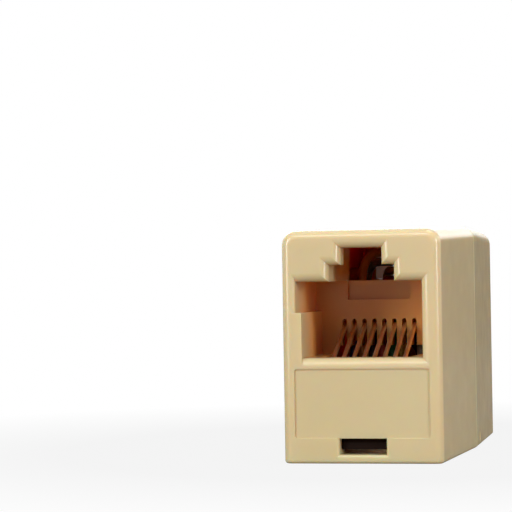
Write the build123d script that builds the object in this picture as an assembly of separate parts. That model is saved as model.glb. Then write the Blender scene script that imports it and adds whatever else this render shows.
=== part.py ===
from build123d import *
import math
import os

# An inline coupler with an eight way modular port at each end.
# Millimetres. X is across the ports, Y runs from the front port to the rear port, +Z is up.
# The origin is on the surface that the coupler rests on, under its middle.
# The front half is drawn by its depth from the front face, then turned about Z for the rear half.

# Housing outside
housing_length = 39.0
side_border = 1.9
top_border = 1.7
side_draft_angle = 2.1
top_draft_angle = 1.2
top_corner_radius = 1.4
front_edge_radius = 0.8
base_edge_radius = 0.3
seam_bevel = 0.15

# Housing walls
side_wall = 1.5
top_wall = 1.5
base_wall = 1.3
front_wall = 1.4
inner_corner_radius = 0.5

# Port mouth
port_floor = 10.2
port_width = 11.75
port_height = 7.4
side_notch = 0.6
side_notch_rise = 4.4
wide_key_width = 6.4
wide_key_height = 1.6
narrow_key_width = 4.0
narrow_key_height = 1.65
mouth_edge_radius = 0.8
notch_edge_radius = 0.4

# Port inside
port_depth = 10.4
comb_wall = 1.4
port_floor_thickness = 1.2
latch_shoulder_depth = 2.2
latch_recess_height = 1.93
latch_recess_depth = 0.6
ledge_thickness = 1.2
ledge_web = 1.0
ledge_front = 1.2
floor_window_front = 2.6
floor_window_side = 0.84

# Comb and contacts
contact_count = 8
contact_pitch = 1.016
contact_diameter = 0.4
comb_slot_width = 0.48
comb_tooth_bottom = 0.85
comb_slot_top = 3.53
contact_leg_drop = 2.2
contact_bend_depth = 3.1
contact_bend_height = 1.45
contact_bend_radius = 0.85
contact_tip_inset = 0.7
contact_tip_drop = 0.58
contact_grip = 0.7

# Sunk panel and snap window in the front face
panel_margin = 1.12
panel_bottom = 2.47
panel_gap = 0.25
panel_sink = 0.15
panel_corner_radius = 0.3
window_width = 4.6
window_bottom = 0.86
window_height = 1.54
window_rim = 0.3
window_channel = 3.4

# Gate mark low on the side
gate_seam_distance = 3.4
gate_height = 0.95
gate_width = 1.1
gate_sink = 0.15
gate_pip_width = 0.36
gate_pip_sink = 0.3

# Tongue and rebate at the seam
tongue_thickness = 0.7
tongue_step = 0.05
tongue_length = 1.8
tongue_clearance = 0.1
tongue_end_clearance = 0.2
bead_height = 0.18
bead_width = 0.6
bead_length = 5.0
bead_root = 0.2
bead_setback = 0.9
bead_clearance = 0.05

# Contact block
insert_clearance = 0.12
insert_overhang = 1.2
insert_front_gap = 0.1
nose_clearance = 0.15
nose_top_gap = 0.3
nose_front = 4.0
guide_depth = 0.5
bend_pocket_floor = 0.8
core_roof = 1.6
core_wall = 1.1
core_front_wall = 1.7
bore_clearance = 0.02
trough_lead_in = 0.2
trough_floor_gap = 0.12
catch_side_gap = 0.2
catch_gap = 0.1
catch_height = 0.9
catch_reach = 0.6
catch_bevel = 0.3

# Crimp sleeves and leads
crimp_diameter = 0.85
crimp_length = 1.6
crimp_setback = 2.1
crimp_bevel = 0.08
lead_diameter = 0.9
strand_diameter = 0.4
strand_gap = 0.2
lead_strip_gap = 0.4
lead_run_out = 1.6
lead_rise_run = 1.1
lead_layer_bottom = 4.2
lead_layer_step = 1.8
lead_layer_order = (5, 8, 3, 0, 1, 4, 6, 7)
lead_bend_share = 0.45

half_length = housing_length / 2
port_half_width = port_width / 2
port_top = port_floor + port_height
wide_key_top = port_top + wide_key_height
narrow_key_top = wide_key_top + narrow_key_height
end_half_width = port_half_width + side_border
end_height = narrow_key_top + top_border
side_slope = math.tan(math.radians(side_draft_angle))
seam_half_width = end_half_width + half_length * side_slope
top_slope = math.tan(math.radians(top_draft_angle))
seam_height = end_height + half_length * top_slope
comb_back = port_depth + comb_wall
bay_top = port_floor - port_floor_thickness
bay_half_width = end_half_width - side_wall
contact_row_half = (contact_count - 1) / 2 * contact_pitch
contact_leg_height = port_floor - contact_leg_drop
floor_window_half_width = contact_row_half + floor_window_side
channel_half_width = wide_key_width / 2
channel_top = end_height - top_wall
insert_front = front_wall + insert_front_gap
insert_back = comb_back + insert_overhang
crimp_start = insert_back - crimp_setback
trough_start = crimp_start - trough_lead_in
contact_tail = crimp_start + contact_grip
overshoot = 1.0


def station(depth):
    """Plane across the coupler at a depth from the front face; its x and y are the coupler's X and Z."""
    return Plane(origin=(0, depth - half_length, 0), x_dir=(1, 0, 0), z_dir=(0, -1, 0))


def prism(profile, near, far):
    """A profile drawn in X and Z, carried from one depth to another."""
    return extrude(station(far) * profile, amount=far - near)


def limits(left, right, bottom, top):
    """A rectangle given by its four sides."""
    return Pos((left + right) / 2, (bottom + top) / 2) * Rectangle(right - left, top - bottom)


def slab(half_width, bottom, top, near, far):
    """A box centred on X, given by its limits."""
    return prism(limits(-half_width, half_width, bottom, top), near, far)


def contact_position(index):
    """Where a contact stands across the port."""
    return index * contact_pitch - contact_row_half


def drafted_block(half_width, bottom, top, near, corner):
    """A block from a depth to the seam that widens and rises by the draft, its upper corners rounded."""
    block = slab(half_width, bottom, top, near, half_length)
    sides = block.faces().sort_by(Axis.X)
    block = draft([sides[0], sides[-1]], station(near), side_draft_angle)
    block = draft(block.faces().sort_by(Axis.Z)[-1], station(near), top_draft_angle)
    upper_edges = block.faces().sort_by(Axis.Z)[-1].edges().sort_by(Axis.X)
    return fillet([upper_edges[0], upper_edges[-1]], corner)


def housing_blank():
    """The half housing's outside, with its rounded edges."""
    blank = drafted_block(end_half_width, 0, end_height, 0, top_corner_radius)
    front_edges = blank.faces().sort_by(Axis.Y)[0].edges().sort_by(Axis.Z)
    blank = fillet(front_edges[1:], front_edge_radius)
    base_edges = blank.faces().sort_by(Axis.Z)[0].edges().sort_by(Axis.Y)
    return fillet(base_edges[:-1], base_edge_radius)


def mouth_outline():
    """The stepped mouth: the plug's body, widened by the side notch, and the keyway of its latch."""
    body = limits(-port_half_width - side_notch, port_half_width, port_floor, port_top)
    wide_key = limits(-channel_half_width, channel_half_width, port_floor, wide_key_top)
    narrow_key = limits(-narrow_key_width / 2, narrow_key_width / 2, port_floor, narrow_key_top)
    return body + wide_key + narrow_key


def mouth_rim(shell):
    """The edges of the mouth in the front face, from left to right."""
    front_face = shell.faces().sort_by(Axis.Y)[0]
    return front_face.inner_wires()[0].edges().sort_by(Axis.X)


def cut_mouth(shell):
    """Cut the mouth as deep as the latch's shoulders and round its outer edge, less so beside the notch."""
    shell -= prism(mouth_outline(), -overshoot, latch_shoulder_depth)
    shell = fillet(mouth_rim(shell)[1:], mouth_edge_radius)
    return fillet(mouth_rim(shell)[0], notch_edge_radius)


def cut_port(shell):
    """Cut the port, the latch channel over it and the window in its floor."""
    body = limits(-port_half_width - side_notch, port_half_width, port_floor, port_top)
    shell -= prism(body, latch_shoulder_depth, port_depth)
    shell -= slab(channel_half_width, port_top, channel_top, latch_shoulder_depth, comb_back)
    recess_bottom = port_top - latch_recess_height
    recess_back = port_depth + latch_recess_depth
    shell -= slab(channel_half_width, recess_bottom, port_top, port_depth, recess_back)
    tooth_bottom = port_floor + comb_tooth_bottom
    return shell - slab(floor_window_half_width, bay_top, tooth_bottom, floor_window_front, comb_back)


def notch_rib():
    """The rib that guides the plug under the side notch, flush with the front face."""
    left = -port_half_width - side_notch - notch_edge_radius
    rib = limits(left, -port_half_width, port_floor - mouth_edge_radius, port_floor + side_notch_rise)
    return prism(rib, 0, port_depth)


def cut_comb(shell):
    """Cut the round topped slots that leave a comb of hanging teeth in the wall at the port's back."""
    slot_bottom = port_floor + comb_tooth_bottom
    slot_top = port_floor + comb_slot_top
    slot_height = 2 * (slot_top - slot_bottom)
    slot = Pos(0, slot_bottom) * SlotOverall(slot_height, comb_slot_width, rotation=90)
    row = [Pos(contact_position(index), 0) * slot for index in range(contact_count)]
    return shell - prism(Sketch() + row, port_depth, comb_back)


def cut_pockets(shell):
    """Cut what the cores leave: the chamber, the contact block's bay and two pockets over the ledges."""
    chamber_half_width = bay_half_width + comb_back * side_slope
    chamber_top = channel_top + comb_back * top_slope
    shell -= drafted_block(chamber_half_width, base_wall, chamber_top, comb_back, inner_corner_radius)
    shell -= slab(bay_half_width, base_wall, bay_top, front_wall, comb_back)
    pocket_inner = channel_half_width + ledge_web
    pocket_bottom = port_top + ledge_thickness
    for side in (-1, 1):
        edges = sorted((side * pocket_inner, side * bay_half_width))
        pocket = limits(edges[0], edges[1], pocket_bottom, channel_top)
        shell -= prism(pocket, front_wall + ledge_front, comb_back)
    return shell


def cut_front_face(shell):
    """Cut the snap window with its rounded rim and sink the panel between it and the mouth."""
    window = limits(-window_width / 2, window_width / 2, window_bottom, window_bottom + window_height)
    shell -= prism(window, -overshoot, window_channel)
    front_face = shell.faces().sort_by(Axis.Y)[0]
    rim = front_face.inner_wires().sort_by(Axis.Z)[0]
    shell = fillet(rim.edges(), window_rim)
    panel_half_width = end_half_width - panel_margin
    panel_top = port_floor - mouth_edge_radius - panel_gap
    panel = limits(-panel_half_width, panel_half_width, panel_bottom, panel_top)
    panel = fillet(panel.vertices(), panel_corner_radius)
    return shell - prism(panel, -overshoot, panel_sink)


def gate_mark():
    """The round sink and pip that the mould's gate leaves low on one side."""
    depth = half_length - gate_seam_distance
    mark = Cylinder(gate_width / 2, 2 * gate_sink)
    mark += Cylinder(gate_pip_width / 2, 2 * gate_pip_sink)
    surface = end_half_width + depth * side_slope
    return Pos(-surface, depth - half_length, gate_height) * (Rot(0, 90, 0) * mark)


def bevel_seam(shell):
    """Break the outer edge at the seam, which leaves the fine groove round the middle."""
    seam_face = shell.faces().sort_by(Axis.Y)[-1]
    return chamfer(seam_face.outer_wire().edges(), seam_bevel)


def seam_outline(inset):
    """The housing's section at the seam, drawn in all round, with the base wall's thinness allowed for."""
    half_width = seam_half_width - inset
    outline = limits(-half_width, half_width, inset - side_wall + base_wall, seam_height - inset)
    corner = max(top_corner_radius - inset, inner_corner_radius)
    return fillet(outline.vertices().group_by(Axis.Y)[-1], corner)


def seam_beads(clearance):
    """The two snap beads on the tongue, or their grooves where a clearance is given."""
    reach = bead_height + clearance
    half_width = bead_width / 2 + clearance
    tongue_face = seam_half_width - side_wall + tongue_thickness
    middle = end_height / 2
    beads = Part()
    for side in (-1, 1):
        wedge = make_face(Polyline(
            (side * (tongue_face - bead_root), half_width),
            (side * tongue_face, half_width),
            (side * (tongue_face + reach), 0),
            (side * tongue_face, -half_width),
            (side * (tongue_face - bead_root), -half_width),
            close=True,
        ))
        length = bead_length + 2 * clearance
        beads += Pos(0, bead_setback, middle - length / 2) * extrude(wedge, amount=length, dir=(0, 0, 1))
    return beads


def half_shell():
    """The moulding that both ends share, before its tongue or rebate."""
    shell = cut_mouth(housing_blank())
    shell = cut_pockets(shell)
    shell = cut_port(shell) + notch_rib()
    shell = cut_comb(shell)
    return cut_front_face(shell) - gate_mark()


def front_housing():
    """The half with the tongue."""
    ring = seam_outline(side_wall - tongue_thickness) - seam_outline(side_wall - tongue_step)
    tongue = prism(ring, half_length, half_length + tongue_length)
    return bevel_seam(half_shell()) + tongue + seam_beads(0)


def rear_housing():
    """The half with the rebate, drawn as a front half and turned later."""
    rebate_start = half_length - tongue_length - tongue_end_clearance
    rebate = seam_outline(side_wall - tongue_thickness - tongue_clearance)
    shell = bevel_seam(half_shell()) - prism(rebate, rebate_start, half_length)
    return shell - mirror(seam_beads(bead_clearance), Plane.XZ)


def insert_core(block):
    """Core the block out from below, as a moulding of this thickness is."""
    core_half_width = bay_half_width - insert_clearance - core_wall
    core_top = contact_leg_height - core_roof
    core_near = insert_front + core_front_wall
    return block - slab(core_half_width, base_wall, core_top, core_near, insert_back)


def contact_block():
    """The dark block that carries the contacts: body, nose, guide grooves, bores, trough and catch."""
    block_top = bay_top - insert_clearance
    half_width = bay_half_width - insert_clearance
    block = slab(half_width, base_wall, block_top, insert_front, insert_back)
    block = insert_core(block)
    nose_half_width = floor_window_half_width - nose_clearance
    nose_top = port_floor - nose_top_gap
    block += slab(nose_half_width, contact_leg_height, nose_top, nose_front, port_depth)
    pocket_floor = contact_leg_height - bend_pocket_floor
    block -= slab(nose_half_width, pocket_floor, port_top, insert_front, nose_front)
    bores = Sketch()
    guides = Sketch()
    for index in range(contact_count):
        place = contact_position(index)
        bores += Pos(place, contact_leg_height) * Circle(contact_diameter / 2 + bore_clearance)
        guide = limits(-comb_slot_width / 2, comb_slot_width / 2, nose_top - guide_depth, port_top)
        guides += Pos(place, 0) * guide
    block -= prism(bores, nose_front, trough_start)
    block -= prism(guides, nose_front, port_depth)
    trough_floor = contact_leg_height - lead_diameter / 2 - trough_floor_gap
    block -= slab(nose_half_width, trough_floor, port_top, trough_start, insert_back)
    return block + insert_catch()


def insert_catch():
    """The catch that stands in the housing's snap window."""
    bottom = base_wall + catch_gap
    half_width = window_width / 2 - catch_side_gap
    catch = slab(half_width, bottom, bottom + catch_height, insert_front - catch_reach, insert_front)
    nose_edge = catch.faces().sort_by(Axis.Y)[0].edges().sort_by(Axis.Z)[-1]
    return chamfer(nose_edge, catch_bevel)


def contact_path():
    """Centre line of a contact: tail, turn at the front, and spring leg that slopes up into the comb."""
    leg = contact_leg_height
    points = [
        (contact_tail, leg),
        (contact_bend_depth, leg),
        (contact_bend_depth, leg + contact_bend_height),
        (port_depth + contact_tip_inset, port_floor + comb_slot_top - contact_tip_drop),
    ]
    places = [(0, depth - half_length, height) for depth, height in points]
    return FilletPolyline(*places, radius=contact_bend_radius)


def contact():
    """A spring contact of round wire."""
    path = contact_path()
    return sweep(Plane(origin=path @ 0, z_dir=path % 0) * Circle(contact_diameter / 2), path=path)


def crimp_sleeve():
    """The sleeve that joins a contact's tail to a lead's strand."""
    bore = contact_diameter / 2 + bore_clearance
    outside = prism(Circle(crimp_diameter / 2), crimp_start, crimp_start + crimp_length)
    outside = chamfer(outside.edges().filter_by(GeomType.CIRCLE), crimp_bevel)
    sleeve = outside - prism(Circle(bore), crimp_start, crimp_start + crimp_length)
    return Pos(0, 0, contact_leg_height) * sleeve


def bend_radii(points):
    """The largest radius that each corner of a route leaves room for."""
    radii = []
    for before, corner, after in zip(points, points[1:], points[2:]):
        run_in = Vector(*corner) - Vector(*before)
        run_out = Vector(*after) - Vector(*corner)
        turn = math.radians(run_in.get_angle(run_out))
        shorter = min(run_in.length, run_out.length)
        radii.append(lead_bend_share * shorter / math.tan(turn / 2))
    return radii


def lead(index):
    """An insulated lead with a bare strand at each end, crossing the middle in a layer of its own."""
    place = contact_position(index)
    layer = lead_layer_bottom + lead_layer_step * lead_layer_order[index]
    end = half_length - crimp_start - crimp_length - lead_strip_gap
    turn = end - lead_run_out
    crossing = turn - lead_rise_run
    leg = contact_leg_height
    route = [
        (place, -end, leg),
        (place, -turn, leg),
        (place, -crossing, layer),
        (-place, crossing, layer),
        (-place, turn, leg),
        (-place, end, leg),
    ]
    path = FilletPolyline(*route, radius=bend_radii(route))
    wire = sweep(Plane(origin=path @ 0, z_dir=path % 0) * Circle(lead_diameter / 2), path=path)
    strand_depth = contact_tail + strand_gap
    strand = Pos(0, 0, leg) * prism(Circle(strand_diameter / 2), strand_depth, half_length - end)
    wire += Pos(place, 0, 0) * strand
    wire += Pos(-place, 0, 0) * (Rot(0, 0, 180) * strand)
    return wire


def turned(piece):
    """A piece of the front half, turned end for end for the rear half."""
    return Rot(0, 0, 180) * piece


def assemble():
    """Every piece of the coupler by its name."""
    pieces = {"front_shell": front_housing(), "rear_shell": turned(rear_housing())}
    block = contact_block()
    pieces["front_insert"] = block
    pieces["rear_insert"] = turned(block)
    spring = contact()
    sleeve = crimp_sleeve()
    for index in range(contact_count):
        place = Pos(contact_position(index), 0, 0)
        number = index + 1
        pieces[f"front_contact_{number}"] = place * spring
        pieces[f"rear_contact_{number}"] = turned(place * spring)
        pieces[f"front_crimp_{number}"] = place * sleeve
        pieces[f"rear_crimp_{number}"] = turned(place * sleeve)
        pieces[f"link_wire_{number}"] = lead(index)
    return pieces


os.makedirs("parts", exist_ok=True)
for name, piece in assemble().items():
    export_step(piece, f"parts/{name}.step")
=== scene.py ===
"""Looks of a cream inline coupler with a modular port at each end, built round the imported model."""

import logging
import math
from dataclasses import dataclass
from enum import Enum

import bmesh
import bpy
from mathutils import Euler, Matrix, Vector


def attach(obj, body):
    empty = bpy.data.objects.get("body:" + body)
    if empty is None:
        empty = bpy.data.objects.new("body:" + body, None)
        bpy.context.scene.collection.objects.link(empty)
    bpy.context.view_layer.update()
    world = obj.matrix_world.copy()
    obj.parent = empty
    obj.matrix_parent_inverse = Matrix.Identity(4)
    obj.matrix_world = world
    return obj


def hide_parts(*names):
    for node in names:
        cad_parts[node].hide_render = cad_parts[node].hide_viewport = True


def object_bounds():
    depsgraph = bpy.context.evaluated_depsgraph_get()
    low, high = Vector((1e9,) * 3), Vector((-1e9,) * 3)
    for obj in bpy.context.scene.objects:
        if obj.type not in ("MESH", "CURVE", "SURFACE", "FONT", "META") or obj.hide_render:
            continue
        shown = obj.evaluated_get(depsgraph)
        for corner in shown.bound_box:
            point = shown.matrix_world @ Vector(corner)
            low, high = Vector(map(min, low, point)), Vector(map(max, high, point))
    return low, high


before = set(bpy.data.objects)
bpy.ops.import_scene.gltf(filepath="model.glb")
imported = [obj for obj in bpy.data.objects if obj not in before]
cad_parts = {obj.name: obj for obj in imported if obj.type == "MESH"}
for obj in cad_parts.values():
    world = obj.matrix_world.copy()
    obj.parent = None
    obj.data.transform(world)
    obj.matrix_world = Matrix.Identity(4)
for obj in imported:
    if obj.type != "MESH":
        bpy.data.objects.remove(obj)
cad_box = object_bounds()

LOG = logging.getLogger("coupler")
MM = 0.001
BODY = "root"
CONTACTS_PER_PORT = 8
HALF_LENGTH = cad_box[1][1]
CONTACT_PITCH = 1.016 * MM
LEG_HEIGHT = 8.0 * MM

Colour = tuple[float, float, float]
Point = tuple[float, float, float]
Span = tuple[float, float]


class Port(Enum):
    """The two ends of the coupler; the value is the turn about Z that takes a front piece there."""

    FRONT = 0.0
    REAR = math.pi

    @property
    def word(self) -> str:
        """The end's name as the CAD nodes spell it."""
        return self.name.lower()


class Slot(Enum):
    """The record's material slots."""

    HOUSING = "housing_plastic"
    INSERT = "insert_plastic"
    GOLD = "contact_gold"
    TIN = "tinned_metal"
    LEAD_BLUE = "lead_blue"
    LEAD_ORANGE = "lead_orange"
    LEAD_BLACK = "lead_black"
    LEAD_RED = "lead_red"
    LEAD_GREEN = "lead_green"
    LEAD_YELLOW = "lead_yellow"
    LEAD_BROWN = "lead_brown"
    LEAD_WHITE = "lead_white"


LEAD_COLOURS: dict[Slot, Colour] = {
    Slot.LEAD_BLUE: (0.03, 0.12, 0.45),
    Slot.LEAD_ORANGE: (0.85, 0.30, 0.05),
    Slot.LEAD_BLACK: (0.02, 0.02, 0.02),
    Slot.LEAD_RED: (0.55, 0.03, 0.02),
    Slot.LEAD_GREEN: (0.02, 0.26, 0.08),
    Slot.LEAD_YELLOW: (0.85, 0.60, 0.08),
    Slot.LEAD_BROWN: (0.20, 0.09, 0.04),
    Slot.LEAD_WHITE: (0.80, 0.76, 0.66),
}


def socket(tree: bpy.types.NodeTree, name: str, side: str, kind: str, value: float | None = None) -> str:
    """Add a named socket to a node group's interface.

    Args:
        tree: The node group.
        name: The socket's name.
        side: INPUT or OUTPUT.
        kind: The socket type, such as NodeSocketFloat.
        value: The default of a number input.

    Returns:
        The socket's identifier.
    """
    made = tree.interface.new_socket(name=name, in_out=side, socket_type=kind)
    if value is not None:
        made.default_value = value
    return made.identifier


def add_node(tree: bpy.types.NodeTree, kind: str, **settings: object) -> bpy.types.Node:
    """Add a node and set its properties and, by name or number, its inputs.

    Args:
        tree: The node tree that takes the node.
        kind: The node's type name.
        settings: Properties by name; the key inputs is a dict of input name or number to value.

    Returns:
        The new node.
    """
    made = tree.nodes.new(kind)
    inputs = settings.pop("inputs", {})
    for key, value in settings.items():
        setattr(made, key, value)
    for key, value in inputs.items():
        made.inputs[key].default_value = value
    return made


def calculate(
    tree: bpy.types.NodeTree, operation: str, *terms: bpy.types.NodeSocket | float
) -> bpy.types.NodeSocket:
    """Add a math node.

    Args:
        tree: The node tree.
        operation: The math node's operation.
        terms: Sockets to link or numbers to set, in the order of the node's inputs.

    Returns:
        The result.
    """
    made = add_node(tree, "ShaderNodeMath", operation=operation)
    for place, term in enumerate(terms):
        if isinstance(term, bpy.types.NodeSocket):
            tree.links.new(term, made.inputs[place])
        else:
            made.inputs[place].default_value = term
    return made.outputs[0]


RISING = (0.0, 1.0)
FALLING = (1.0, 0.0)


def ranged(
    tree: bpy.types.NodeTree, source: bpy.types.NodeSocket, before: Span, after: Span = RISING
) -> bpy.types.NodeSocket:
    """Map a value from one range to another, held at the ends.

    Args:
        tree: The node tree.
        source: The value.
        before: Its range.
        after: The range that it is mapped to.

    Returns:
        The mapped value.
    """
    made = add_node(tree, "ShaderNodeMapRange")
    names = ("From Min", "From Max", "To Min", "To Max")
    for name, value in zip(names, (*before, *after)):
        made.inputs[name].default_value = value
    tree.links.new(source, made.inputs["Value"])
    return made.outputs["Result"]


MIX_FACTOR_INPUT = 0
MIX_LOW_INPUT = 6
MIX_HIGH_INPUT = 7
MIX_COLOUR_OUTPUT = 2


def mixed(
    tree: bpy.types.NodeTree,
    factor: bpy.types.NodeSocket,
    low: Colour | bpy.types.NodeSocket,
    high: Colour | bpy.types.NodeSocket,
) -> bpy.types.NodeSocket:
    """Mix two colours by a mask.

    Args:
        tree: The material's node tree.
        factor: The mask.
        low: The colour where the mask is weak.
        high: The colour where the mask is strong.

    Returns:
        The mixed colour.
    """
    made = add_node(tree, "ShaderNodeMix", data_type="RGBA")
    for number, colour in ((MIX_LOW_INPUT, low), (MIX_HIGH_INPUT, high)):
        if isinstance(colour, bpy.types.NodeSocket):
            tree.links.new(colour, made.inputs[number])
        else:
            made.inputs[number].default_value = (*colour, 1.0)
    tree.links.new(factor, made.inputs[MIX_FACTOR_INPUT])
    return made.outputs[MIX_COLOUR_OUTPUT]


NOISE_RANGE = (0.3, 0.7)
SKIN_SHARE = 0.35
SCRATCH_STRETCH = (1.0, 0.15, 0.4)


def moulding_group() -> bpy.types.NodeTree:
    """Build the group that gives moulded plastic its tone, its sheen and its fine skin.

    Returns:
        A shader node group with the outputs Tone, Sheen and Height.
    """
    tree = bpy.data.node_groups.new("moulded_skin", "ShaderNodeTree")
    socket(tree, "Flow Scale", "INPUT", "NodeSocketFloat", 60.0)
    socket(tree, "Skin Scale", "INPUT", "NodeSocketFloat", 900.0)
    for name in ("Tone", "Sheen", "Height"):
        socket(tree, name, "OUTPUT", "NodeSocketFloat")
    entry = add_node(tree, "NodeGroupInput")
    leave = add_node(tree, "NodeGroupOutput")
    place = add_node(tree, "ShaderNodeTexCoord")
    flow = add_node(tree, "ShaderNodeTexNoise", inputs={"Detail": 3.0, "Roughness": 0.5})
    skin = add_node(tree, "ShaderNodeTexNoise", inputs={"Detail": 2.0, "Roughness": 0.55})
    speck = add_node(tree, "ShaderNodeTexNoise", inputs={"Scale": 420.0, "Detail": 4.0})
    for noise in (flow, skin, speck):
        tree.links.new(place.outputs["Object"], noise.inputs["Vector"])
    tree.links.new(entry.outputs["Flow Scale"], flow.inputs["Scale"])
    tree.links.new(entry.outputs["Skin Scale"], skin.inputs["Scale"])
    height = calculate(tree, "MULTIPLY_ADD", skin.outputs["Fac"], SKIN_SHARE, flow.outputs["Fac"])
    tree.links.new(flow.outputs["Fac"], leave.inputs["Tone"])
    tree.links.new(speck.outputs["Fac"], leave.inputs["Sheen"])
    tree.links.new(height, leave.inputs["Height"])
    return tree


def wire_group() -> bpy.types.NodeTree:
    """Build the group that gives drawn and plated wire its patchy tone and fine scratches.

    Returns:
        A shader node group with the outputs Tone, Sheen and Height.
    """
    tree = bpy.data.node_groups.new("drawn_wire", "ShaderNodeTree")
    socket(tree, "Patch Scale", "INPUT", "NodeSocketFloat", 500.0)
    socket(tree, "Scratch Scale", "INPUT", "NodeSocketFloat", 3000.0)
    for name in ("Tone", "Sheen", "Height"):
        socket(tree, name, "OUTPUT", "NodeSocketFloat")
    entry = add_node(tree, "NodeGroupInput")
    leave = add_node(tree, "NodeGroupOutput")
    place = add_node(tree, "ShaderNodeTexCoord")
    stretch = add_node(tree, "ShaderNodeMapping", inputs={"Scale": SCRATCH_STRETCH})
    patch = add_node(tree, "ShaderNodeTexNoise", inputs={"Detail": 3.0})
    scratch = add_node(tree, "ShaderNodeTexNoise", inputs={"Detail": 2.0})
    tree.links.new(place.outputs["Object"], patch.inputs["Vector"])
    tree.links.new(place.outputs["Object"], stretch.inputs["Vector"])
    tree.links.new(stretch.outputs["Vector"], scratch.inputs["Vector"])
    tree.links.new(entry.outputs["Patch Scale"], patch.inputs["Scale"])
    tree.links.new(entry.outputs["Scratch Scale"], scratch.inputs["Scale"])
    tree.links.new(patch.outputs["Fac"], leave.inputs["Tone"])
    tree.links.new(scratch.outputs["Fac"], leave.inputs["Sheen"])
    tree.links.new(scratch.outputs["Fac"], leave.inputs["Height"])
    return tree


# Bounds of the masks that place the painted shade in the ports and the painted orange glow in the chamber.
HOLLOW_SIDES = (7.2 * MM, 7.5 * MM)
HOLLOW_BASE = (0.4 * MM, 0.6 * MM)
HOLLOW_TOP = (21.6 * MM, 21.9 * MM)
# How far in and how high the painted orange glow lies in the chamber.
PAINTED_GLOW_DEPTH = (4.0 * MM, 11.0 * MM)
PAINTED_GLOW_HEIGHT = (17.0 * MM, 18.4 * MM)


def painted_light_group() -> bpy.types.NodeTree:
    """Build the group that finds how far a point lies in the coupler's ports and chamber, as masks for
    painted light.

    Returns:
        A shader node group with two outputs: the first, 0 outside and at the mouths and 1 far in, places a
        painted shade there; the second, 1 high in the chamber, places a painted orange glow there.
    """
    tree = bpy.data.node_groups.new("painted_shade_and_glow", "ShaderNodeTree")
    socket(tree, "Half Length", "INPUT", "NodeSocketFloat", HALF_LENGTH)
    socket(tree, "Fade Start", "INPUT", "NodeSocketFloat", 0.8 * MM)
    socket(tree, "Fade End", "INPUT", "NodeSocketFloat", 6.0 * MM)
    for name in ("Depth", "Crown"):
        socket(tree, name, "OUTPUT", "NodeSocketFloat")
    entry = add_node(tree, "NodeGroupInput")
    leave = add_node(tree, "NodeGroupOutput")
    place = add_node(tree, "ShaderNodeTexCoord")
    axes = add_node(tree, "ShaderNodeSeparateXYZ")
    tree.links.new(place.outputs["Object"], axes.inputs[0])
    across = calculate(tree, "ABSOLUTE", axes.outputs["X"])
    along = calculate(tree, "ABSOLUTE", axes.outputs["Y"])
    height = axes.outputs["Z"]
    depth = calculate(tree, "SUBTRACT", entry.outputs["Half Length"], along)
    fade = add_node(tree, "ShaderNodeMapRange")
    tree.links.new(depth, fade.inputs["Value"])
    tree.links.new(entry.outputs["Fade Start"], fade.inputs["From Min"])
    tree.links.new(entry.outputs["Fade End"], fade.inputs["From Max"])
    above_base = ranged(tree, height, HOLLOW_BASE)
    below_top = ranged(tree, height, HOLLOW_TOP, FALLING)
    within = calculate(tree, "MULTIPLY", above_base, below_top)
    within = calculate(tree, "MULTIPLY", within, ranged(tree, across, HOLLOW_SIDES, FALLING))
    # Mask of the painted shade far into the ports.
    result = calculate(tree, "MULTIPLY", within, fade.outputs["Result"])
    tree.links.new(result, leave.inputs["Depth"])
    # Mask of the painted orange glow high in the chamber.
    far_in = ranged(tree, depth, PAINTED_GLOW_DEPTH)
    high_up = ranged(tree, height, PAINTED_GLOW_HEIGHT)
    crown = calculate(tree, "MULTIPLY", calculate(tree, "MULTIPLY", far_in, high_up), within)
    tree.links.new(crown, leave.inputs["Crown"])
    return tree


def grained(
    name: str, skin: bpy.types.NodeTree, roughness: Span, bump: float, relief: float
) -> tuple[bpy.types.Material, bpy.types.Node, bpy.types.Node]:
    """Start a material whose sheen and fine relief come from a skin group.

    Args:
        name: The material's name.
        skin: The group, with the outputs Tone, Sheen and Height.
        roughness: The lowest and the highest roughness.
        bump: The strength of the relief.
        relief: Its depth.

    Returns:
        The material, its shader and its skin node.
    """
    made = bpy.data.materials.new(name)
    made.use_nodes = True
    tree = made.node_tree
    shader = tree.nodes["Principled BSDF"]
    grain = add_node(tree, "ShaderNodeGroup", node_tree=skin)
    sheen = ranged(tree, grain.outputs["Sheen"], NOISE_RANGE, roughness)
    height = add_node(tree, "ShaderNodeBump", inputs={"Strength": bump, "Distance": relief})
    tree.links.new(sheen, shader.inputs["Roughness"])
    tree.links.new(grain.outputs["Height"], height.inputs["Height"])
    tree.links.new(height.outputs["Normal"], shader.inputs["Normal"])
    return made, shader, grain


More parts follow.
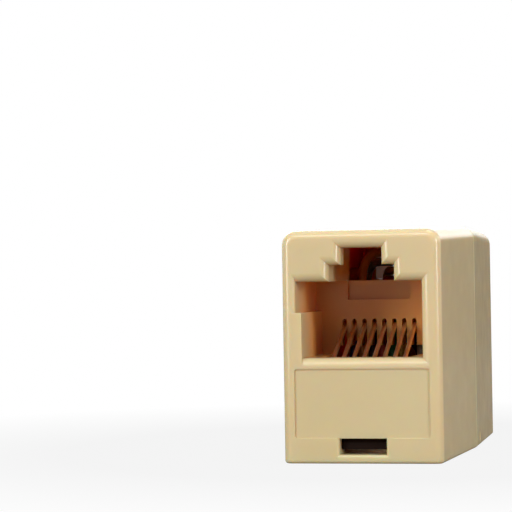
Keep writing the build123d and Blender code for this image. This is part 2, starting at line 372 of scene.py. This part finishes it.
@dataclass(frozen=True)
class MouldedPlastic:
    """A moulded plastic finish: two close tones, a painted shade far into the ports and a painted orange
    glow high in the chamber, a gloss and light below the skin.
    """

    name: str
    light: Colour
    dark: Colour
    # Painted shade colour far into the ports and painted orange glow colour high in the chamber.
    painted_shade: Colour
    crown: Colour
    roughness: Span
    specular: float
    bump: float
    subsurface: float = 0.0
    bleed: Colour = (0.1, 0.1, 0.1)
    relief: float = 0.02 * MM
    refraction: float = 1.5

    def build(self, skin: bpy.types.NodeTree, hollow: bpy.types.NodeTree) -> bpy.types.Material:
        """Build the material.

        Args:
            skin: The shared moulded skin group.
            hollow: The shared group that finds the hollows, as masks for the painted shade and the painted
                glow.

        Returns:
            The material.
        """
        made, shader, grain = grained(self.name, skin, self.roughness, self.bump, self.relief)
        tree = made.node_tree
        inside = add_node(tree, "ShaderNodeGroup", node_tree=hollow)
        tone = mixed(tree, ranged(tree, grain.outputs["Tone"], NOISE_RANGE), self.dark, self.light)
        # Painted shade: the base colour turns a dark orange-brown far into the ports.
        tone = mixed(tree, inside.outputs["Depth"], tone, self.painted_shade)
        # Painted glow: a brighter orange high in the chamber stands in for light there.
        tone = mixed(tree, inside.outputs["Crown"], tone, self.crown)
        tree.links.new(tone, shader.inputs["Base Color"])
        shader.inputs["IOR"].default_value = self.refraction
        shader.inputs["Specular IOR Level"].default_value = self.specular
        shader.inputs["Subsurface Weight"].default_value = self.subsurface
        shader.inputs["Subsurface Radius"].default_value = self.bleed
        shader.inputs["Subsurface Scale"].default_value = MM
        return made


@dataclass(frozen=True)
class PlatedWire:
    """A plated metal finish for contacts and sleeves."""

    name: str
    light: Colour
    dark: Colour
    roughness: Span
    bump: float
    relief: float = 0.01 * MM

    def build(self, skin: bpy.types.NodeTree) -> bpy.types.Material:
        """Build the material.

        Args:
            skin: The shared drawn wire group.

        Returns:
            The material.
        """
        made, shader, grain = grained(self.name, skin, self.roughness, self.bump, self.relief)
        tree = made.node_tree
        tone = mixed(tree, ranged(tree, grain.outputs["Tone"], NOISE_RANGE), self.dark, self.light)
        tree.links.new(tone, shader.inputs["Base Color"])
        shader.inputs["Metallic"].default_value = 1.0
        return made


CREAM = MouldedPlastic(
    name="cream_moulding",
    light=(0.690, 0.572, 0.335),
    dark=(0.655, 0.537, 0.305),
    # Painted shade: dark orange-brown far into the ports.
    painted_shade=(0.760, 0.355, 0.095),
    # Painted glow: bright orange high in the chamber.
    crown=(0.960, 0.420, 0.080),
    roughness=(0.17, 0.23),
    specular=0.45,
    bump=0.12,
    subsurface=0.60,
    bleed=(2.4, 1.2, 0.50),
)
BLACK = MouldedPlastic(
    name="black_moulding",
    light=(0.012, 0.005, 0.003),
    dark=(0.008, 0.004, 0.003),
    # Painted shade and painted glow of the black blocks, close to their own black.
    painted_shade=(0.010, 0.004, 0.003),
    crown=(0.010, 0.004, 0.003),
    roughness=(0.45, 0.58),
    specular=0.05,
    bump=0.3,
)
GOLD = PlatedWire(
    name="gold_plating",
    light=(0.86, 0.68, 0.44),
    dark=(0.66, 0.50, 0.30),
    roughness=(0.32, 0.46),
    bump=0.2,
)
TIN = PlatedWire(
    name="tinned_sleeve",
    light=(0.66, 0.65, 0.62),
    dark=(0.50, 0.49, 0.47),
    roughness=(0.34, 0.50),
    bump=0.35,
)


@dataclass(frozen=True)
class Insulation:
    """The coloured insulation of a lead."""

    slot: Slot
    colour: Colour
    dark_share: float = 0.82

    def build(self, skin: bpy.types.NodeTree, hollow: bpy.types.NodeTree) -> bpy.types.Material:
        """Build the material.

        Args:
            skin: The shared moulded skin group.
            hollow: The shared group that finds the hollows, as masks for the painted shade and the painted
                glow.

        Returns:
            The material.
        """
        finish = MouldedPlastic(
            name=f"{self.slot.value}_insulation",
            light=self.colour,
            dark=tuple(self.dark_share * channel for channel in self.colour),
            # The leads take no painted shade or painted glow: both stay the lead's own colour.
            painted_shade=self.colour,
            crown=self.colour,
            roughness=(0.32, 0.44),
            specular=0.5,
            bump=0.2,
        )
        return finish.build(skin, hollow)


def dress(name: str, material: bpy.types.Material) -> None:
    """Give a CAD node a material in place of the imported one.

    Args:
        name: The node's name.
        material: The material.
    """
    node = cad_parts[name]
    for place in node.material_slots:
        place.material = material
    LOG.info("dressed %s with %s", name, material.name)


def linked(name: str, data: bpy.types.ID) -> bpy.types.Object:
    """Add an object to the scene.

    Args:
        name: The object's name.
        data: Its mesh, lamp or camera.

    Returns:
        The object.
    """
    made = bpy.data.objects.new(name, data)
    bpy.context.scene.collection.objects.link(made)
    return made


def path_piece(name: str, points: list[Point]) -> bpy.types.Object:
    """Add a piece whose mesh is a path of straight edges, ready to be swept.

    Args:
        name: The object's name.
        points: The path's corners.

    Returns:
        The object.
    """
    mesh = bpy.data.meshes.new(name)
    mesh.from_pydata(points, [(step, step + 1) for step in range(len(points) - 1)], [])
    return linked(name, mesh)


def baked(piece: bpy.types.Object) -> None:
    """Turn a piece with its Geometry Nodes into a plain mesh.

    Args:
        piece: The object, with its modifiers on it.
    """
    graph = bpy.context.evaluated_depsgraph_get()
    mesh = bpy.data.meshes.new_from_object(piece.evaluated_get(graph))
    piece.modifiers.clear()
    piece.data = mesh
    mesh.name = piece.name


def report(piece: bpy.types.Object) -> None:
    """Log a finished piece.

    Args:
        piece: The object.
    """
    LOG.info("built %s with %d faces", piece.name, len(piece.data.polygons))


@dataclass
class Housing:
    """The two half housings and the dark contact blocks in them."""

    plastic: bpy.types.Material
    block: bpy.types.Material

    def build(self) -> None:
        """Dress the shells and the contact blocks."""
        for port in Port:
            dress(f"{port.word}_shell", self.plastic)
            dress(f"{port.word}_insert", self.block)


@dataclass
class RowNodes:
    """The Geometry Nodes tree that sets a piece in a row across the port and turns the row to its end."""

    swept: bool
    identifiers: dict[str, str]
    tree: bpy.types.NodeTree
    bend_steps: int = 14

    @classmethod
    def build(cls, swept: bool) -> "RowNodes":
        """Build the tree.

        Args:
            swept: Whether the piece is a path that is first swept to a round wire.

        Returns:
            The tree with the identifiers of its inputs.
        """
        tree = bpy.data.node_groups.new("swept_row" if swept else "piece_row", "GeometryNodeTree")
        kinds = {
            "Geometry": "NodeSocketGeometry",
            "Count": "NodeSocketInt",
            "Pitch": "NodeSocketFloat",
            "Turn": "NodeSocketFloat",
            "Material": "NodeSocketMaterial",
        }
        if swept:
            kinds["Wire Radius"] = "NodeSocketFloat"
            kinds["Bend Radius"] = "NodeSocketFloat"
            kinds["Sides"] = "NodeSocketInt"
        identifiers = {name: socket(tree, name, "INPUT", kind) for name, kind in kinds.items()}
        socket(tree, "Geometry", "OUTPUT", "NodeSocketGeometry")
        made = cls(swept, identifiers, tree)
        made.link()
        return made

    def link(self) -> None:
        """Add the nodes and link them."""
        tree = self.tree
        entry = add_node(tree, "NodeGroupInput")
        leave = add_node(tree, "NodeGroupOutput")
        piece = self.sweep(entry) if self.swept else entry.outputs["Geometry"]
        gaps = calculate(tree, "SUBTRACT", entry.outputs["Count"], 1.0)
        span = calculate(tree, "MULTIPLY", gaps, entry.outputs["Pitch"])
        first = add_node(tree, "ShaderNodeCombineXYZ")
        tree.links.new(calculate(tree, "MULTIPLY", span, -0.5), first.inputs["X"])
        step = add_node(tree, "ShaderNodeCombineXYZ")
        tree.links.new(entry.outputs["Pitch"], step.inputs["X"])
        places = add_node(tree, "GeometryNodeMeshLine", mode="OFFSET")
        tree.links.new(entry.outputs["Count"], places.inputs["Count"])
        tree.links.new(first.outputs[0], places.inputs["Start Location"])
        tree.links.new(step.outputs[0], places.inputs["Offset"])
        row = add_node(tree, "GeometryNodeInstanceOnPoints")
        tree.links.new(places.outputs["Mesh"], row.inputs["Points"])
        tree.links.new(piece, row.inputs["Instance"])
        turn = add_node(tree, "ShaderNodeCombineXYZ")
        tree.links.new(entry.outputs["Turn"], turn.inputs["Z"])
        turned = add_node(tree, "GeometryNodeTransform")
        tree.links.new(row.outputs["Instances"], turned.inputs["Geometry"])
        tree.links.new(turn.outputs[0], turned.inputs["Rotation"])
        real = add_node(tree, "GeometryNodeRealizeInstances")
        tree.links.new(turned.outputs["Geometry"], real.inputs["Geometry"])
        finish = add_node(tree, "GeometryNodeSetMaterial")
        tree.links.new(real.outputs["Geometry"], finish.inputs["Geometry"])
        tree.links.new(entry.outputs["Material"], finish.inputs["Material"])
        tree.links.new(finish.outputs["Geometry"], leave.inputs["Geometry"])

    def sweep(self, entry: bpy.types.Node) -> bpy.types.NodeSocket:
        """Sweep a path of straight edges to a round wire with filleted bends.

        Args:
            entry: The tree's Group Input node.

        Returns:
            The wire.
        """
        tree = self.tree
        rounding = {"Count": self.bend_steps, "Limit Radius": True}
        curve = add_node(tree, "GeometryNodeMeshToCurve")
        bends = add_node(tree, "GeometryNodeFilletCurve", mode="POLY", inputs=rounding)
        ring = add_node(tree, "GeometryNodeCurvePrimitiveCircle")
        wire = add_node(tree, "GeometryNodeCurveToMesh", inputs={"Fill Caps": True})
        smooth = add_node(tree, "GeometryNodeSetShadeSmooth")
        tree.links.new(entry.outputs["Geometry"], curve.inputs["Mesh"])
        tree.links.new(curve.outputs["Curve"], bends.inputs["Curve"])
        tree.links.new(entry.outputs["Bend Radius"], bends.inputs["Radius"])
        tree.links.new(entry.outputs["Sides"], ring.inputs["Resolution"])
        tree.links.new(entry.outputs["Wire Radius"], ring.inputs["Radius"])
        tree.links.new(bends.outputs["Curve"], wire.inputs["Curve"])
        tree.links.new(ring.outputs["Curve"], wire.inputs["Profile Curve"])
        tree.links.new(wire.outputs["Mesh"], smooth.inputs["Geometry"])
        return smooth.outputs["Geometry"]

    def apply(self, piece: bpy.types.Object, values: dict[str, object]) -> None:
        """Run the tree on a piece and keep the result as its mesh.

        Args:
            piece: The object that carries the path or the single piece.
            values: The inputs' values by name.
        """
        modifier = piece.modifiers.new("row", "NODES")
        modifier.node_group = self.tree
        for name, value in values.items():
            modifier[self.identifiers[name]] = value
        baked(piece)


@dataclass
class PortRow:
    """What the rows of one port share: their end, their tree, their metal and the contacts' spacing."""

    port: Port
    nodes: RowNodes
    metal: bpy.types.Material
    half_length: float = HALF_LENGTH
    pitch: float = CONTACT_PITCH
    leg_height: float = LEG_HEIGHT

    def spaced(self) -> dict[str, object]:
        """Say how a piece is set in a row of this port.

        Returns:
            The values of the row's inputs by name.
        """
        return {
            "Count": CONTACTS_PER_PORT,
            "Pitch": self.pitch,
            "Turn": self.port.value,
            "Material": self.metal,
        }


@dataclass
class ContactRow(PortRow):
    """The spring contacts of one port, as a row of bent round wires."""

    wire_radius: float = 0.22 * MM
    bend_radius: float = 0.85 * MM
    bend_height: float = 9.45 * MM
    tip_height: float = 13.15 * MM
    tail_depth: float = 11.6 * MM
    bend_depth: float = 3.1 * MM
    tip_depth: float = 11.1 * MM
    sides: int = 28

    def build(self) -> None:
        """Build the row in place of the CAD contacts."""
        route = [
            (self.tail_depth, self.leg_height),
            (self.bend_depth, self.leg_height),
            (self.bend_depth, self.bend_height),
            (self.tip_depth, self.tip_height),
        ]
        points = [(0.0, depth - self.half_length, height) for depth, height in route]
        row = path_piece(f"{self.port.word}_contact_row", points)
        sizes = {"Wire Radius": self.wire_radius, "Bend Radius": self.bend_radius, "Sides": self.sides}
        self.nodes.apply(row, self.spaced() | sizes)
        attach(row, BODY)
        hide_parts(*[f"{self.port.word}_contact_{number + 1}" for number in range(CONTACTS_PER_PORT)])
        report(row)


@dataclass
class SleeveRow(PortRow):
    """The crimp sleeves on the tails of one port's contacts, each pressed in at two places."""

    radius: float = 0.425 * MM
    edge: float = 0.08 * MM
    dent: float = 0.06 * MM
    dent_shares: tuple[Span, ...] = ((0.28, 0.36), (0.64, 0.72))
    slope_share: float = 0.06
    start: float = 10.9 * MM
    length: float = 1.6 * MM
    sides: int = 32

    def outline(self) -> list[tuple[float, float]]:
        """The sleeve's outline as places along it and radii.

        Returns:
            The outline from one end to the other.
        """
        points = [(0.0, self.radius - self.edge), (self.edge, self.radius)]
        for near, far in self.dent_shares:
            middle = (near + far) / 2 * self.length
            points.append(((near - self.slope_share) * self.length, self.radius))
            points.append((middle - self.edge / 2, self.radius - self.dent))
            points.append((middle + self.edge / 2, self.radius - self.dent))
            points.append(((far + self.slope_share) * self.length, self.radius))
        points.append((self.length - self.edge, self.radius))
        points.append((self.length, self.radius - self.edge))
        return points

    def sleeve(self, name: str) -> bpy.types.Mesh:
        """Turn the outline round the tail.

        Args:
            name: The mesh's name.

        Returns:
            The mesh of one sleeve.
        """
        shape = bmesh.new()
        rings = []
        for place, radius in self.outline():
            y = self.start + place - self.half_length
            ring = []
            for step in range(self.sides):
                angle = math.tau * step / self.sides
                z = self.leg_height + radius * math.sin(angle)
                ring.append(shape.verts.new((radius * math.cos(angle), y, z)))
            rings.append(ring)
        for near, far in zip(rings, rings[1:]):
            for step in range(self.sides):
                after = (step + 1) % self.sides
                shape.faces.new((near[step], near[after], far[after], far[step]))
        shape.faces.new(rings[0])
        shape.faces.new(rings[-1])
        bmesh.ops.recalc_face_normals(shape, faces=shape.faces[:])
        mesh = bpy.data.meshes.new(name)
        shape.to_mesh(mesh)
        shape.free()
        return mesh

    def build(self) -> None:
        """Build the row in place of the CAD sleeves."""
        name = f"{self.port.word}_sleeve_row"
        row = linked(name, self.sleeve(name))
        self.nodes.apply(row, self.spaced())
        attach(row, BODY)
        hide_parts(*[f"{self.port.word}_crimp_{number + 1}" for number in range(CONTACTS_PER_PORT)])
        report(row)


@dataclass
class StrandRow(PortRow):
    """The bare strands that run from one port's sleeves into the leads."""

    radius: float = 0.2 * MM
    start: float = 12.3 * MM
    end: float = 13.1 * MM
    sides: int = 16

    def build(self) -> None:
        """Build the row."""
        points = [(0.0, depth - self.half_length, self.leg_height) for depth in (self.start, self.end)]
        row = path_piece(f"{self.port.word}_strand_row", points)
        sizes = {"Wire Radius": self.radius, "Bend Radius": 0.0, "Sides": self.sides}
        self.nodes.apply(row, self.spaced() | sizes)
        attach(row, BODY)
        report(row)


@dataclass
class Leads:
    """The insulated leads between the contact blocks, each crossing the middle at its own height."""

    skin: bpy.types.NodeTree
    hollow: bpy.types.NodeTree
    nodes: RowNodes
    pitch: float = CONTACT_PITCH
    radius: float = 0.45 * MM
    bend_radius: float = 2.6 * MM
    leg_height: float = LEG_HEIGHT
    end: float = 6.6 * MM
    turn: float = 5.0 * MM
    crossing: float = 3.9 * MM
    crossing_heights_mm: tuple[float, ...] = (11.38, 20.4, 12.32, 17.58, 13.3, 18.52, 10.3, 19.46)
    sides: int = 24

    def build(self) -> None:
        """Build each lead in place of the CAD one, in its own colour."""
        for index, (slot, colour) in enumerate(LEAD_COLOURS.items()):
            finish = Insulation(slot, colour).build(self.skin, self.hollow)
            self.lead(index, slot, finish)

    def lead(self, index: int, slot: Slot, finish: bpy.types.Material) -> None:
        """Build one lead.

        Args:
            index: The lead's number, from 0.
            slot: Its material slot.
            finish: Its insulation.
        """
        place = (index - (CONTACTS_PER_PORT - 1) / 2) * self.pitch
        height = self.crossing_heights_mm[index] * MM
        half = [
            (place, -self.end, self.leg_height),
            (place, -self.turn, self.leg_height),
            (place, -self.crossing, height),
        ]
        lead = path_piece(f"{slot.value}_run", half + [(-x, -y, z) for x, y, z in reversed(half)])
        values = {
            "Count": 1,
            "Pitch": 0.0,
            "Turn": 0.0,
            "Material": finish,
            "Wire Radius": self.radius,
            "Bend Radius": self.bend_radius,
            "Sides": self.sides,
        }
        self.nodes.apply(lead, values)
        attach(lead, BODY)
        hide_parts(f"link_wire_{index + 1}")
        report(lead)


LAMP_AIM = (0.0, 0.0, 11.0 * MM)


@dataclass(frozen=True)
class SoftBox:
    """A softbox of the studio: where it stands as seen from the coupler, its size, colour and power."""

    name: str
    azimuth: float
    elevation: float
    distance: float
    size: tuple[float, float]
    power: float
    colour: Colour = (1.0, 1.0, 1.0)

    def build(self) -> None:
        """Add the lamp, aimed at the coupler's middle."""
        data = bpy.data.lights.new(self.name, "AREA")
        data.shape = "RECTANGLE"
        data.size, data.size_y = self.size
        data.energy = self.power
        data.color = self.colour
        turn, rise = math.radians(self.azimuth), math.radians(self.elevation)
        away = Vector((math.sin(turn) * math.cos(rise), -math.cos(turn) * math.cos(rise), math.sin(rise)))
        lamp = linked(self.name, data)
        lamp.location = Vector(LAMP_AIM) + self.distance * away
        lamp.rotation_euler = (-away).to_track_quat("-Z", "Y").to_euler()
        LOG.info("lit %s", self.name)


SOFT_BOXES = (
    SoftBox("left_box", -40.0, 14.0, 0.50, (0.16, 0.26), 1.62),
    SoftBox("right_box", 61.0, 12.0, 0.50, (0.07, 0.22), 1.34, (1.0, 0.94, 0.95)),
    SoftBox("front_box", -8.0, 42.0, 0.60, (0.26, 0.14), 0.78),
    SoftBox("top_box", 70.0, 80.0, 0.45, (0.16, 0.16), 0.74),
    SoftBox("back_box", 110.0, 25.0, 0.60, (0.20, 0.20), 0.70, (1.0, 0.95, 0.97)),
    SoftBox("rear_box", 205.0, 24.0, 0.60, (0.24, 0.24), 0.90),
    SoftBox("rim_box", 181.0, 9.0, 0.60, (0.23, 0.075), 0.07),
)


@dataclass
class Studio:
    """The floor, the light and the camera."""

    floor_half: float = 1.5
    floor_colour: Colour = (0.12, 0.12, 0.12)
    card_colour: Colour = (0.12, 0.11, 0.10)
    card_distance: float = 0.40
    card_azimuths: Span = (150.0, 184.0)
    card_heights: Span = (-1.0 * MM, 60.0 * MM)
    camera_place: Point = (39.67 * MM, -235.71 * MM, 19.18 * MM)
    camera_turn: Point = (90.265, 0.966, 13.003)
    lens: float = 160.252
    world_fill: float = 0.08
    glow_near: float = 0.89
    glow_start: float = 35.0 * MM
    glow_end: float = 80.0 * MM

    def build(self) -> None:
        """Build the stage round the coupler."""
        self.build_world()
        self.build_floor()
        self.build_card()
        for box in SOFT_BOXES:
            box.build()
        self.build_camera()
        bpy.context.scene.view_settings.view_transform = "Standard"

    def build_world(self) -> None:
        """A plain white surround that lights the coupler softly and shows white to the camera."""
        world = bpy.data.worlds.new("white_surround")
        bpy.context.scene.world = world
        world.use_nodes = True
        tree = world.node_tree
        shade = tree.nodes["Background"]
        shade.inputs["Color"].default_value = (1.0, 1.0, 1.0, 1.0)
        path = add_node(tree, "ShaderNodeLightPath")
        seen = calculate(tree, "MAXIMUM", path.outputs["Is Camera Ray"], path.outputs["Is Glossy Ray"])
        seen = calculate(tree, "MAXIMUM", seen, path.outputs["Is Transmission Ray"])
        tree.links.new(ranged(tree, seen, RISING, (self.world_fill, 1.0)), shade.inputs["Strength"])

    def build_floor(self) -> None:
        """A pale floor that glows white to the camera and takes a soft shadow near the coupler."""
        half = self.floor_half
        corners = [(-half, -half, 0.0), (half, -half, 0.0), (half, half, 0.0), (-half, half, 0.0)]
        floor = self.sheet("floor", corners)
        tree, blend, path = self.glowing("pale_floor", floor, self.floor_colour)
        place = add_node(tree, "ShaderNodeTexCoord")
        away = add_node(tree, "ShaderNodeVectorMath", operation="LENGTH")
        tree.links.new(place.outputs["Object"], away.inputs[0])
        share = ranged(tree, away.outputs["Value"], (self.glow_start, self.glow_end), (self.glow_near, 1.0))
        tree.links.new(calculate(tree, "MULTIPLY", path.outputs["Is Camera Ray"], share), blend.inputs[0])

    def build_card(self) -> None:
        """A grey card behind the coupler that keeps its right side from mirroring the surround."""
        start, end = self.card_azimuths
        foot, head = self.card_heights
        reach = self.card_distance
        corners = []
        for azimuth, height in ((start, foot), (end, foot), (end, head), (start, head)):
            turn = math.radians(azimuth)
            corners.append((reach * math.sin(turn), -reach * math.cos(turn), height))
        card = self.sheet("grey_card", corners)
        tree, blend, path = self.glowing("card_grey", card, self.card_colour)
        tree.links.new(path.outputs["Is Camera Ray"], blend.inputs[0])

    @staticmethod
    def sheet(name: str, corners: list[Point]) -> bpy.types.Object:
        """Add a flat stage piece.

        Args:
            name: The object's name.
            corners: Its corners in order.

        Returns:
            The object.
        """
        mesh = bpy.data.meshes.new(name)
        mesh.from_pydata(corners, [], [tuple(range(len(corners)))])
        made = linked(name, mesh)
        return made

    @staticmethod
    def glowing(
        name: str, piece: bpy.types.Object, colour: Colour
    ) -> tuple[bpy.types.NodeTree, bpy.types.Node, bpy.types.Node]:
        """Give a stage piece a matt finish that can be mixed with white for the camera.

        Args:
            name: The material's name.
            piece: The stage piece.
            colour: The matt finish's colour.

        Returns:
            The node tree, the mix node and the Light Path node.
        """
        made = bpy.data.materials.new(name)
        made.use_nodes = True
        tree = made.node_tree
        shader = tree.nodes["Principled BSDF"]
        shader.inputs["Base Color"].default_value = (*colour, 1.0)
        shader.inputs["Roughness"].default_value = 0.9
        shader.inputs["Specular IOR Level"].default_value = 0.0
        glow = add_node(tree, "ShaderNodeEmission", inputs={"Strength": 1.0})
        path = add_node(tree, "ShaderNodeLightPath")
        blend = add_node(tree, "ShaderNodeMixShader")
        leave = tree.nodes["Material Output"]
        tree.links.new(shader.outputs[0], blend.inputs[1])
        tree.links.new(glow.outputs[0], blend.inputs[2])
        tree.links.new(blend.outputs[0], leave.inputs["Surface"])
        piece.data.materials.append(made)
        return tree, blend, path

    def build_camera(self) -> None:
        """The camera at the photograph's angle, with no shift and no blur."""
        data = bpy.data.cameras.new("view")
        data.lens = self.lens
        data.sensor_width = 36.0
        data.clip_start = 0.01
        camera = linked("view", data)
        camera.location = self.camera_place
        camera.rotation_euler = Euler([math.radians(angle) for angle in self.camera_turn], "XYZ")
        bpy.context.scene.camera = camera


def main() -> None:
    """Build and dress the coupler, piece by piece."""
    logging.basicConfig(level=logging.INFO, format="%(message)s")
    skin = moulding_group()
    hollow = painted_light_group()
    drawn = wire_group()
    Housing(CREAM.build(skin, hollow), BLACK.build(skin, hollow)).build()
    plating = GOLD.build(drawn)
    tinning = TIN.build(drawn)
    wires = RowNodes.build(swept=True)
    pieces = RowNodes.build(swept=False)
    for port in Port:
        ContactRow(port, wires, plating).build()
        SleeveRow(port, pieces, tinning).build()
        StrandRow(port, wires, tinning).build()
    Leads(skin, hollow, wires).build()
    Studio().build()


if __name__ == "__main__":
    main()
